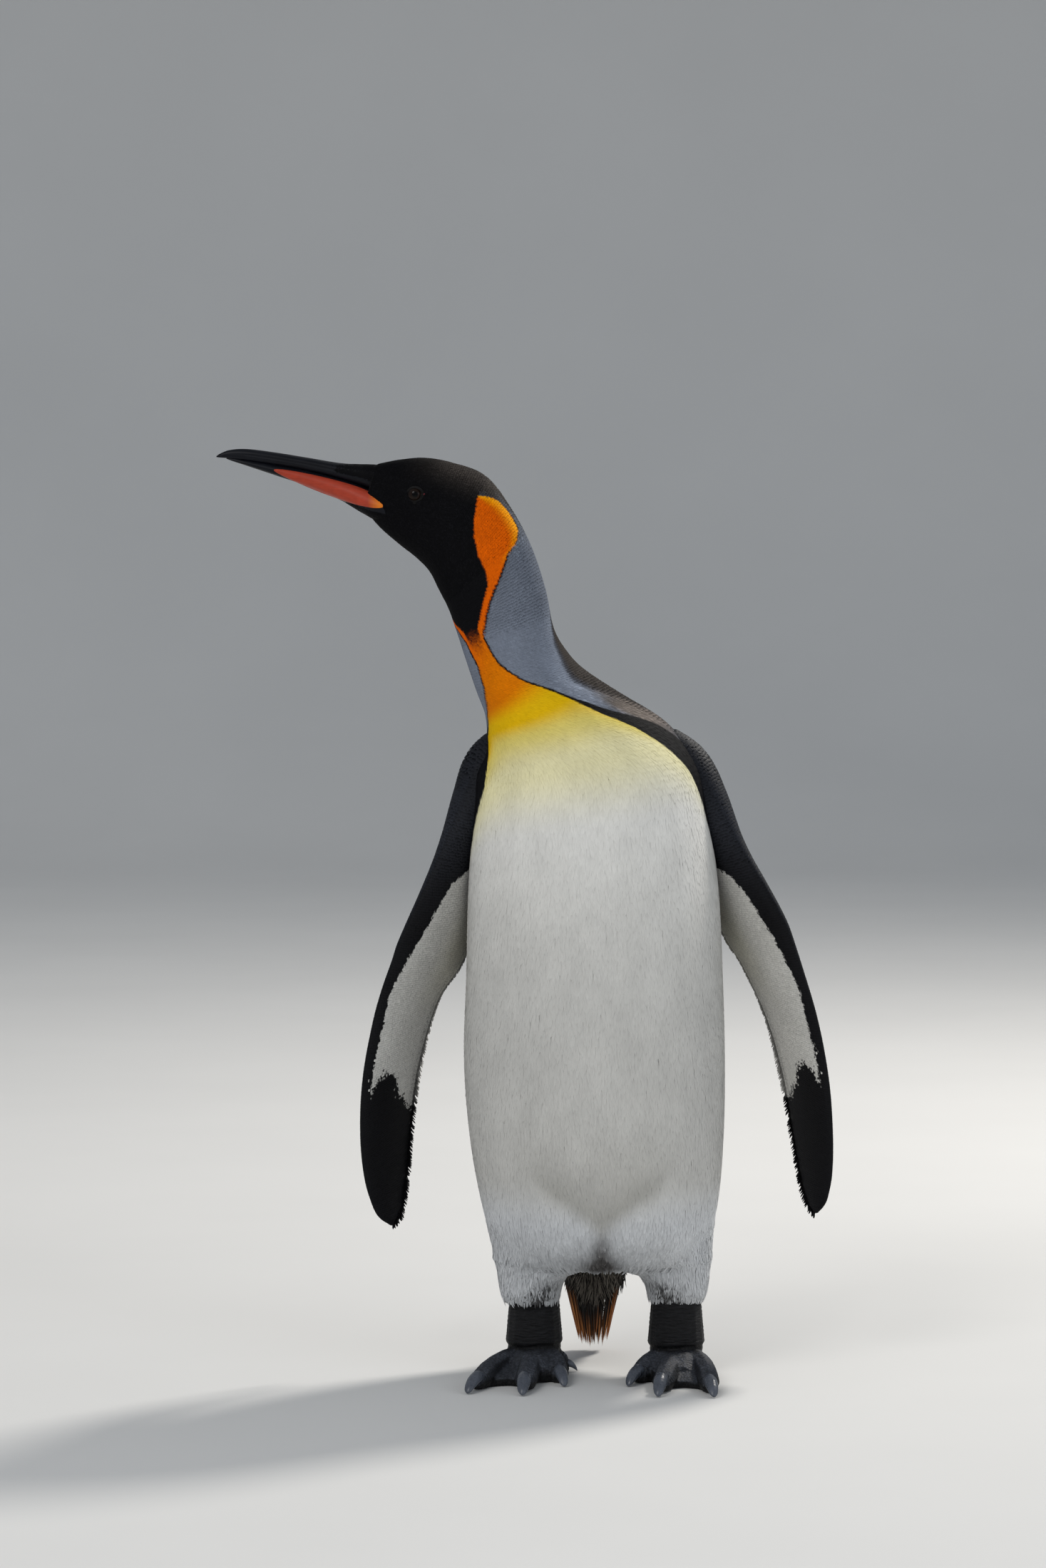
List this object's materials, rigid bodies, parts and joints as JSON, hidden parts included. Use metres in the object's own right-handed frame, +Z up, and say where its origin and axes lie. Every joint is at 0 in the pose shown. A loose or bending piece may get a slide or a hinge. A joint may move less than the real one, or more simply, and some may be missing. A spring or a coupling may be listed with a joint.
{
  "type": "king penguin model",
  "caption": "Life-size still model of a standing king penguin, head turned to its right and flippers held a little out.",
  "frame": {"origin": "middle of the whole bird's box, from bill tip to left flipper and from claws to tail, on the floor between and behind the feet", "axes": "+Z up; the breast and toes face -Y; the bird's left side is +X, and the turned bill points to -X"},
  "size_m": [0.516, 0.2424, 0.7785],
  "materials": {
    "white_plumage": "satin",
    "dark_plumage": "matte",
    "grey_plumage": "matte",
    "bare_skin": "wrinkled, matte",
    "tail_feathers": "matte",
    "claw_horn": "worn horn",
    "bill_horn": "satin horn",
    "bill_plate": "satin horn",
    "eye": "wet gloss"
  },
  "bodies": {
    "root": {"trunk": "white_plumage", "neck": "grey_plumage", "head": "dark_plumage", "bill_upper": "bill_horn", "bill_lower": "bill_horn", "tail": "tail_feathers", "mandible_plate_left": "bill_plate", "eye_left": "eye", "flipper_left": "dark_plumage", "leg_left": "white_plumage", "tarsus_left": "bare_skin", "foot_left": "bare_skin", "claw_left_outer": "claw_horn", "claw_left_middle": "claw_horn", "claw_left_inner": "claw_horn", "claw_left_hind": "claw_horn", "mandible_plate_right": "bill_plate", "eye_right": "eye", "flipper_right": "dark_plumage", "leg_right": "white_plumage", "tarsus_right": "bare_skin", "foot_right": "bare_skin", "claw_right_outer": "claw_horn", "claw_right_middle": "claw_horn", "claw_right_inner": "claw_horn", "claw_right_hind": "claw_horn"}
  },
  "joints": []
}
